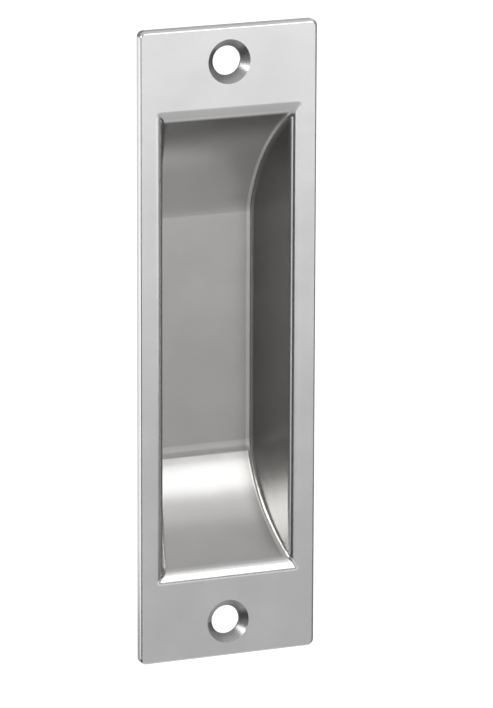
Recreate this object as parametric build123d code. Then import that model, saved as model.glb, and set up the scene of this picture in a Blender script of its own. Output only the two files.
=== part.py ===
from build123d import *
import math
import os

# Flush pull for a sliding door, drawer or cabinet door. It is one casting: a flat plate that seats
# on the door's face, and a finger recess whose pan drops into a mortise. Two countersunk screws
# hold it. Sizes are in millimetres and angles in degrees.
#
# +Z runs up the plate and -Y is the front. The origin is the middle of the plate's back face,
# halfway between the two screws.

# Plate
plate_width = 35.0
plate_length = 120.0
plate_thickness = 1.8
plate_corner_radius = 1.2
plate_edge_radius = 0.6

# Screw holes, on the plate's centre line
screw_end_distance = 6.7
screw_hole_diameter = 5.5
countersink_diameter = 8.3
countersink_angle = 90.0

# Finger recess. Each end is a ramp: from the flat floor, a short bend leads into one large arc
# that climbs to the front face. The lands are the plate left beside and beyond the mouth, up to
# where the side walls and ramps would meet the front face if the rim weren't rolled.
side_land = 4.5
end_land = 16.6
recess_depth = 12.5
wall_draft = 15.5
ramp_radius = 34.0
ramp_start_slope = 13.0
floor_bend_radius = 10.0
wall_blend_radius = 1.2

# Rim of the recess. The side walls and the ramps roll outwards until they lie at the lip's slope
# to the front face, and the lip that this leaves is rounded off.
side_rim_radius = 2.0
end_rim_radius = 4.0
lip_slope = 20.0
lip_radius = 1.8

# Pan behind the plate
pan_wall = 1.5
pan_foot_radius = 0.8

front_y = -plate_thickness
mouth_width = plate_width - 2 * side_land
mouth_length = plate_length - 2 * end_land
screw_pitch = plate_length - 2 * screw_end_distance

# Both sections of the recess are drawn with the depth along x and half the recess along y.
lengthwise = Plane.YZ
crosswise = Plane(origin=(0, 0, 0), x_dir=(0, 1, 0), z_dir=(0, 0, -1))


def square_faces(body):
    """The flat faces that lie square to the front, from the front backwards."""
    return body.faces().filter_by(Axis.Y).sort_by(Axis.Y)


def ramp_end_slope(grow, rim_radius):
    """Slope of the ramp, in radians, where it reaches the rim's roll or, with none, the front.

    The ramp starts at its start slope, and the roll would end level with the front face. Between
    them they climb what the bend leaves of the depth.
    """
    start = math.radians(ramp_start_slope)
    arc_radius = ramp_radius + grow
    bend_rise = (floor_bend_radius + grow) * (1 - math.cos(start))
    climb = recess_depth + grow - bend_rise
    return math.acos((arc_radius * math.cos(start) + rim_radius - climb) / (arc_radius + rim_radius))


def floor_half_length():
    """Half the length of the flat floor: what the two ramps leave of the mouth's length."""
    start = math.radians(ramp_start_slope)
    bend_run = floor_bend_radius * math.sin(start)
    ramp_run = ramp_radius * (math.sin(ramp_end_slope(0, 0)) - math.sin(start))
    return mouth_length / 2 - bend_run - ramp_run


def closed_section(half, rim_radius):
    """A section from the lines of its half, out to where the wall meets the rim's roll.

    With a rim radius, the wall rolls outwards and runs on at the lip's slope until it is well in
    front of the plate. Without one, the section is closed along the front face.
    """
    wall = half[-1]
    if rim_radius:
        wall_slope = math.degrees(math.atan2(-(wall % 1).X, (wall % 1).Y))
        roll = JernArc(wall @ 1, wall % 1, rim_radius, lip_slope - wall_slope)
        lip = PolarLine(roll @ 1, rim_radius, direction=roll % 1)
        half = half + [roll, lip]
    end = half[-1] @ 1
    outline = Curve() + half + [Line(end, (end.X, 0))]
    return make_face(outline + mirror(outline, about=Plane.XZ))


def ramp_section(grow, rim_radius):
    """Floor, bend and ramp, the same towards both ends."""
    floor_y = front_y + recess_depth + grow
    ramp_turn = math.degrees(ramp_end_slope(grow, rim_radius)) - ramp_start_slope
    floor = Line((floor_y, 0), (floor_y, floor_half_length()))
    bend = JernArc(floor @ 1, floor % 1, floor_bend_radius + grow, ramp_start_slope)
    ramp = JernArc(bend @ 1, bend % 1, ramp_radius + grow, ramp_turn)
    return closed_section([floor, bend, ramp], rim_radius)


def wall_section(grow, rim_radius):
    """Floor and drafted side wall, the same on both sides."""
    draft = math.radians(wall_draft)
    mouth_half = mouth_width / 2 + grow / math.cos(draft)
    floor_y = front_y + recess_depth + grow
    floor_half = mouth_half - (recess_depth + grow) * math.tan(draft)
    roll_depth = rim_radius * (1 - math.sin(draft))
    wall_end = (front_y + roll_depth, mouth_half - roll_depth * math.tan(draft))
    floor = Line((floor_y, 0), (floor_y, floor_half))
    wall = Line(floor @ 1, wall_end)
    return closed_section([floor, wall], rim_radius)


def recess_form(grow, side_rim, end_rim):
    """The recess as a solid, with its floor, walls and ramps moved out by grow.

    It is what the two sections have in common, and the long creases where the side walls meet
    the floor and ramps are blended round.
    """
    long_form = extrude(lengthwise * ramp_section(grow, end_rim), plate_width, both=True)
    form = long_form & extrude(crosswise * wall_section(grow, side_rim), plate_length, both=True)
    creases = form.edges().filter_by(Axis.X, reverse=True).filter_by(Axis.Z, reverse=True)
    creases += square_faces(form)[-1].edges().filter_by(Axis.Z)
    return fillet(creases, wall_blend_radius + grow)


def pull_plate():
    """The flat plate with its corners rounded, standing with its back face on Y = 0."""
    outline = RectangleRounded(plate_width, plate_length, plate_corner_radius)
    return extrude(Plane.XZ * outline, plate_thickness)


def screw_holes():
    """Both countersunk holes as cutters, sunk from the front face."""
    hole = CounterSinkHole(
        screw_hole_diameter / 2, countersink_diameter / 2, plate_length, countersink_angle
    )
    rows = GridLocations(0, screw_pitch, 1, 2)
    return [Plane.XZ.offset(plate_thickness) * row * hole for row in rows]


def flush_pull():
    body = pull_plate() + recess_form(pan_wall, 0, 0)
    plate_back = square_faces(body)[1]
    body = fillet(plate_back.inner_wires().edges(), pan_foot_radius)
    body = body - recess_form(0, side_rim_radius, end_rim_radius)
    lip = square_faces(body)[0].inner_wires()
    body = fillet(lip.edges(), lip_radius)
    plate_outline = square_faces(body)[0].outer_wire()
    body = fillet(plate_outline.edges(), plate_edge_radius)
    return body - screw_holes()


os.makedirs("parts", exist_ok=True)
pull = flush_pull()
export_step(pull, "parts/flush_pull.step")
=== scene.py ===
import math
import bpy
from mathutils import Matrix, Vector


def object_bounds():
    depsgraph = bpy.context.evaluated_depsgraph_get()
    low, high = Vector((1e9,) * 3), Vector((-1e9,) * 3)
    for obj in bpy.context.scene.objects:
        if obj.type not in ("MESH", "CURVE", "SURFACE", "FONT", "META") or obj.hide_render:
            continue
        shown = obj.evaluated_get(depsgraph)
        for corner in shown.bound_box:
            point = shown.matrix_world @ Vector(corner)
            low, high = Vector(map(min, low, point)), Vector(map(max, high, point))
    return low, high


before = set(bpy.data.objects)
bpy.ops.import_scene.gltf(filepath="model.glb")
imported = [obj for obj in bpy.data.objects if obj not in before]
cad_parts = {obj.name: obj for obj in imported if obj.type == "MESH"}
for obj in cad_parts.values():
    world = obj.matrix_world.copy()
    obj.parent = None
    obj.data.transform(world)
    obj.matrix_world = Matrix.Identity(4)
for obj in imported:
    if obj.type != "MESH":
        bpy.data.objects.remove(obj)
cad_low, cad_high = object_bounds()

MM = 0.001

# Camera: long lens, left of the plate's normal and above it.
CAMERA_YAW = math.radians(22.51)
CAMERA_PITCH = math.radians(14.37)
CAMERA_ROLL = math.radians(0.19)
CAMERA_DISTANCE = 1054.3 * MM
CAMERA_TARGET = Vector((3.54 * MM, cad_low[1], -2.05 * MM))
CAMERA_LENS = 289.82

# Floor
FLOOR_DROP = 100 * MM
FLOOR_SIZE = 6.0
FLOOR_COLOUR = 0.8
FLOOR_LIFT = 0.70

# Room: strength near the horizon and overhead, and the sines of the heights between which it fades
ROOM_LOW = 0.32
ROOM_HIGH = 0.68
ROOM_LOW_SINE = 0.4
ROOM_HIGH_SINE = 0.8

# Soft lamps: yaw to the right of the plate's normal, height above it, distance, width, depth, radiance
LAMPS = {
    "softbox": (18, 18.5, 450, 330, 150, 2.1),
    "upper_softbox": (18, 37, 450, 330, 130, 0.5),
    "side_softbox": (-58, 23, 450, 300, 130, 3.9),
}

# Cards that only the metal shows: yaw, (width, distance, height above the floor) of the foot,
# the same of the top, strength
CARDS = {
    "left_card": (-59, (60, 100, 5), (330, 600, 160), 0.06),
    "far_left_card": (-104, (200, 300, 5), (240, 330, 190), 1.3),
    "left_low_card": (-98, (60, 60, 4), (300, 290, 7), 0.03),
    "under_card": (90, (130, -60, 3), (130, 150, 3), 0.65),
    "right_strip": (62, (130, 350, 5), (130, 350, 320), 0.2),
    "right_low_card": (72, (160, 165, 5), (330, 330, 8), 0.03),
    "right_card": (108, (420, 330, 5), (420, 330, 210), 0.12),
    "back_card": (160, (400, 500, 5), (400, 500, 330), 0.80),
    "left_gap_card": (-24, (130, 450, 190), (130, 450, 480), 0.1),
    "right_gap_card": (45, (120, 440, 140), (120, 440, 480), 0.05),
}

# The card that lies on the floor, dark under the plate and pale in front
LOW_CARD_RISE = 1 * MM
LOW_CARD_BACK = 350 * MM
LOW_CARD_FRONT = 1100 * MM
LOW_CARD_HALF_WIDTH = 450 * MM
LOW_CARD_DARK = 0.50
LOW_CARD_DARK_AT = 350 * MM
LOW_CARD_PALE = 0.84
LOW_CARD_PALE_AT = 900 * MM

# Metal: the face's tone and roughness turn into the recess's between two depths behind the face. The
# recess's darker tone is partly its duller finish and partly painted shade, which begins on the rim's
# roll.
FACE_COLOUR = (0.80, 0.80, 0.80, 1)
RECESS_FINISH_AND_SHADE = (0.51, 0.505, 0.496, 1)
FACE_ROUGHNESS = 0.20
RECESS_ROUGHNESS = 0.24
FINISH_AND_SHADE_DEPTHS = (0.1 * MM, 1.6 * MM)

# Grain and slow waves over the whole surface, and the parts of a noise's range that they use
NOISE_TONE_RANGE = (0.25, 0.75)
NOISE_ROUGHNESS_RANGE = (0.2, 0.8)
GRAIN_SCALE = 5200
GRAIN_DETAIL = 3
GRAIN_TONE = 0.025
GRAIN_ROUGHNESS = 0.03
GRAIN_HEIGHT = 0.0015 * MM
WAVE_SCALE = 85
WAVE_DETAIL = 2
WAVE_TONE = 0.035
WAVE_HEIGHT = 0.06 * MM

# Countersinks: turned rings on duller metal, from the face to just short of the plate's back
SCREW_END_DISTANCE = 6.7 * MM
COUNTERSINK_REACH = 4.15 * MM
COUNTERSINK_BACK_Y = -0.05 * MM
COUNTERSINK_TONE = 0.62
COUNTERSINK_ROUGHER = 0.08
RING_PITCH = 0.22 * MM
RING_HEIGHT = 0.004 * MM


def spherical(yaw, height):
    """A direction in front of the plate: yaw to the right of its normal, height above it."""
    level = math.cos(height)
    return Vector((math.sin(yaw) * level, -math.cos(yaw) * level, math.sin(height)))


def make_camera():
    forward = Vector((
        math.sin(CAMERA_YAW) * math.cos(CAMERA_PITCH),
        math.cos(CAMERA_YAW) * math.cos(CAMERA_PITCH),
        -math.sin(CAMERA_PITCH),
    ))
    level_right = Vector((math.cos(CAMERA_YAW), -math.sin(CAMERA_YAW), 0))
    level_up = level_right.cross(forward)
    right = math.cos(CAMERA_ROLL) * level_right + math.sin(CAMERA_ROLL) * level_up
    up = math.cos(CAMERA_ROLL) * level_up - math.sin(CAMERA_ROLL) * level_right
    data = bpy.data.cameras.new("camera")
    data.lens = CAMERA_LENS
    camera = bpy.data.objects.new("camera", data)
    bpy.context.scene.collection.objects.link(camera)
    turn = Matrix((right, up, -forward)).transposed().to_4x4()
    camera.matrix_world = Matrix.Translation(CAMERA_TARGET - forward * CAMERA_DISTANCE) @ turn
    bpy.context.scene.camera = camera


def feed(tree, socket, value):
    """Sets a socket to a constant, or links another node's output to it."""
    if isinstance(value, bpy.types.NodeSocket):
        tree.links.new(value, socket)
    else:
        socket.default_value = value


def math_node(tree, operation, first, second=0.0):
    node = tree.nodes.new("ShaderNodeMath")
    node.operation = operation
    feed(tree, node.inputs[0], first)
    feed(tree, node.inputs[1], second)
    return node.outputs[0]


def fade(tree, value, source, target, smooth=True):
    """Maps a value from its source range to a target range and holds it there."""
    node = tree.nodes.new("ShaderNodeMapRange")
    node.interpolation_type = "SMOOTHSTEP" if smooth else "LINEAR"
    feed(tree, node.inputs["Value"], value)
    for name, number in zip(("From Min", "From Max", "To Min", "To Max"), (*source, *target)):
        node.inputs[name].default_value = number
    return node.outputs["Result"]


def vary(tree, noise, reach):
    """Spreads a noise over a reach to both sides of 1."""
    return fade(tree, noise, NOISE_TONE_RANGE, (1 - reach, 1 + reach))


def separate(tree, vector):
    node = tree.nodes.new("ShaderNodeSeparateXYZ")
    tree.links.new(vector, node.inputs[0])
    return node.outputs


def noise_node(tree, place, scale, detail):
    node = tree.nodes.new("ShaderNodeTexNoise")
    tree.links.new(place, node.inputs["Vector"])
    node.inputs["Scale"].default_value = scale
    node.inputs["Detail"].default_value = detail
    return node.outputs["Fac"]


def bump_chain(tree, layers):
    """One normal from several layers of (height, distance)."""
    normal = None
    for height, distance in layers:
        node = tree.nodes.new("ShaderNodeBump")
        tree.links.new(height, node.inputs["Height"])
        node.inputs["Distance"].default_value = distance
        if normal:
            tree.links.new(normal, node.inputs["Normal"])
        normal = node.outputs["Normal"]
    return normal


def countersink_mask(tree, place):
    """Distance from the nearer screw's axis, and 1 inside the countersinks and 0 elsewhere."""
    spot = separate(tree, place)
    screw_z = cad_high[2] - SCREW_END_DISTANCE
    from_screw = math_node(tree, "SUBTRACT", math_node(tree, "ABSOLUTE", spot["Z"]), screw_z)
    across = math_node(tree, "MULTIPLY", spot["X"], spot["X"])
    along = math_node(tree, "MULTIPLY", from_screw, from_screw)
    radius = math_node(tree, "SQRT", math_node(tree, "ADD", across, along))
    close = math_node(tree, "LESS_THAN", radius, COUNTERSINK_REACH)
    in_front = math_node(tree, "LESS_THAN", spot["Y"], COUNTERSINK_BACK_Y)
    return radius, math_node(tree, "MULTIPLY", close, in_front)


def satin_metal():
    """Satin metal: a bright face, a recess darkened by a duller finish and by painted shade, faint
    waves, fine grain and turned countersinks.
    """
    material = bpy.data.materials.new("satin_metal")
    material.use_nodes = True
    tree = material.node_tree
    shader = tree.nodes["Principled BSDF"]
    shader.inputs["Metallic"].default_value = 1.0

    place = tree.nodes.new("ShaderNodeTexCoord").outputs["Object"]
    depth_range = [cad_low[1] + depth for depth in FINISH_AND_SHADE_DEPTHS]
    inward = fade(tree, separate(tree, place)["Y"], depth_range, (0.0, 1.0))
    grain = noise_node(tree, place, GRAIN_SCALE, GRAIN_DETAIL)
    waves = noise_node(tree, place, WAVE_SCALE, WAVE_DETAIL)
    radius, countersink = countersink_mask(tree, place)

    # Face tone turning into the recess's darker one: partly a duller finish, partly painted shade
    # starting on the rim's roll
    tone = tree.nodes.new("ShaderNodeMix")
    tone.data_type = "RGBA"
    feed(tree, tone.inputs["Factor"], inward)
    feed(tree, tone.inputs["A"], FACE_COLOUR)
    feed(tree, tone.inputs["B"], RECESS_FINISH_AND_SHADE)
    mottle = vary(tree, waves, WAVE_TONE)
    speck = vary(tree, grain, GRAIN_TONE)
    dimmed = fade(tree, countersink, (0.0, 1.0), (1.0, COUNTERSINK_TONE))
    surface_value = math_node(tree, "MULTIPLY", math_node(tree, "MULTIPLY", mottle, speck), dimmed)
    shade = tree.nodes.new("ShaderNodeHueSaturation")
    feed(tree, shade.inputs["Color"], tone.outputs["Result"])
    feed(tree, shade.inputs["Value"], surface_value)
    feed(tree, shader.inputs["Base Color"], shade.outputs["Color"])

    dullness = fade(tree, inward, (0.0, 1.0), (FACE_ROUGHNESS, RECESS_ROUGHNESS))
    spread = fade(tree, grain, NOISE_ROUGHNESS_RANGE, (-GRAIN_ROUGHNESS, GRAIN_ROUGHNESS))
    rougher = math_node(tree, "MULTIPLY", countersink, COUNTERSINK_ROUGHER)
    roughness = math_node(tree, "ADD", math_node(tree, "ADD", dullness, spread), rougher)
    feed(tree, shader.inputs["Roughness"], roughness)

    turns = math_node(tree, "SINE", math_node(tree, "MULTIPLY", radius, 2 * math.pi / RING_PITCH))
    rings = math_node(tree, "MULTIPLY", turns, countersink)
    layers = [(waves, WAVE_HEIGHT), (grain, GRAIN_HEIGHT), (rings, RING_HEIGHT)]
    feed(tree, shader.inputs["Normal"], bump_chain(tree, layers))
    return material


def four_cornered_sheet(name, corners):
    mesh = bpy.data.meshes.new(name)
    mesh.from_pydata(corners, [], [(0, 1, 2, 3)])
    sheet = bpy.data.objects.new(name, mesh)
    bpy.context.scene.collection.objects.link(sheet)
    return sheet


def flat_sheet(name, x_range, y_range, z):
    corners = [
        (x_range[0], y_range[0], z),
        (x_range[1], y_range[0], z),
        (x_range[1], y_range[1], z),
        (x_range[0], y_range[1], z),
    ]
    return four_cornered_sheet(name, corners)


def make_floor():
    """White floor. Camera, glossy and transmission rays see it lifted to white, and its shadow stays."""
    half = FLOOR_SIZE / 2
    floor = flat_sheet("floor", (-half, half), (-half, half), cad_low[2] - FLOOR_DROP)
    material = bpy.data.materials.new("floor")
    material.use_nodes = True
    tree = material.node_tree
    shader = tree.nodes["Principled BSDF"]
    shader.inputs["Base Color"].default_value = (FLOOR_COLOUR, FLOOR_COLOUR, FLOOR_COLOUR, 1)
    shader.inputs["Roughness"].default_value = 1.0
    shader.inputs["Specular IOR Level"].default_value = 0.0
    shader.inputs["Emission Color"].default_value = (1, 1, 1, 1)
    path = tree.nodes.new("ShaderNodeLightPath").outputs
    seen = math_node(tree, "MAXIMUM", path["Is Camera Ray"], path["Is Glossy Ray"])
    seen = math_node(tree, "MAXIMUM", seen, path["Is Transmission Ray"])
    feed(tree, shader.inputs["Emission Strength"], math_node(tree, "MULTIPLY", seen, FLOOR_LIFT))
    floor.data.materials.append(material)


def show_only_in_metal(card):
    card.visible_camera = False
    card.visible_diffuse = False
    card.visible_shadow = False


def glow_material(name, strength):
    """Plain glow of one grey, returned with its emission node for a gradient to drive."""
    material = bpy.data.materials.new(name)
    material.use_nodes = True
    nodes = material.node_tree.nodes
    nodes.remove(nodes["Principled BSDF"])
    glow = nodes.new("ShaderNodeEmission")
    glow.inputs["Strength"].default_value = strength
    material.node_tree.links.new(glow.outputs[0], nodes["Material Output"].inputs["Surface"])
    return material, glow


def make_low_card():
    """Card on the floor, for the metal to show: dark under the plate and paler towards the front."""
    front = cad_low[1]
    half = LOW_CARD_HALF_WIDTH
    z = cad_low[2] - FLOOR_DROP + LOW_CARD_RISE
    card = flat_sheet("low_card", (-half, half), (front - LOW_CARD_FRONT, front + LOW_CARD_BACK), z)
    show_only_in_metal(card)
    material, glow = glow_material("low_card", 1.0)
    tree = material.node_tree
    place = tree.nodes.new("ShaderNodeTexCoord").outputs["Object"]
    fade_range = (front - LOW_CARD_DARK_AT, front - LOW_CARD_PALE_AT)
    strength = fade(tree, separate(tree, place)["Y"], fade_range, (LOW_CARD_DARK, LOW_CARD_PALE))
    feed(tree, glow.inputs["Strength"], strength)
    card.data.materials.append(material)


def make_card(name, yaw, foot, top, strength):
    """Card round the plate, upright, leaning outwards or flat."""
    toward = spherical(math.radians(yaw), 0)
    across = Vector((-toward.y, toward.x, 0))
    corners = []
    for (width, distance, height), order in ((foot, (-1, 1)), (top, (1, -1))):
        middle = toward * distance * MM
        middle.z = cad_low[2] - FLOOR_DROP + height * MM
        corners += [middle + across * side * width * MM / 2 for side in order]
    card = four_cornered_sheet(name, corners)
    show_only_in_metal(card)
    card.data.materials.append(glow_material(name, strength)[0])


def make_lamp(name, yaw, height, distance, width, depth, radiance):
    """Soft rectangular lamp aimed at the middle of the plate."""
    data = bpy.data.lights.new(name, "AREA")
    data.shape = "RECTANGLE"
    data.size = width * MM
    data.size_y = depth * MM
    # An area lamp's radiance is its power over pi times its area.
    data.energy = radiance * math.pi * data.size * data.size_y
    lamp = bpy.data.objects.new(name, data)
    bpy.context.scene.collection.objects.link(lamp)
    toward = spherical(math.radians(yaw), math.radians(height))
    lamp.location = toward * distance * MM
    lamp.rotation_euler = toward.to_track_quat("Z", "Y").to_euler()
    lamp.visible_camera = False


def make_room():
    """Grey room, darker towards the horizon than overhead, and white straight to the camera."""
    world = bpy.data.worlds.new("studio")
    bpy.context.scene.world = world
    world.use_nodes = True
    tree = world.node_tree
    direction = tree.nodes.new("ShaderNodeTexCoord").outputs["Generated"]
    sine_range = (ROOM_LOW_SINE, ROOM_HIGH_SINE)
    room = fade(tree, separate(tree, direction)["Z"], sine_range, (ROOM_LOW, ROOM_HIGH), smooth=False)
    path = tree.nodes.new("ShaderNodeLightPath").outputs
    background = tree.nodes["Background"]
    background.inputs["Color"].default_value = (1, 1, 1, 1)
    feed(tree, background.inputs["Strength"], math_node(tree, "MAXIMUM", room, path["Is Camera Ray"]))


make_camera()
make_floor()
make_low_card()
make_room()
for name, settings in CARDS.items():
    make_card(name, *settings)
for name, settings in LAMPS.items():
    make_lamp(name, *settings)
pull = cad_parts["flush_pull"]
pull.data.materials.clear()
pull.data.materials.append(satin_metal())

bpy.context.scene.view_settings.view_transform = "Standard"
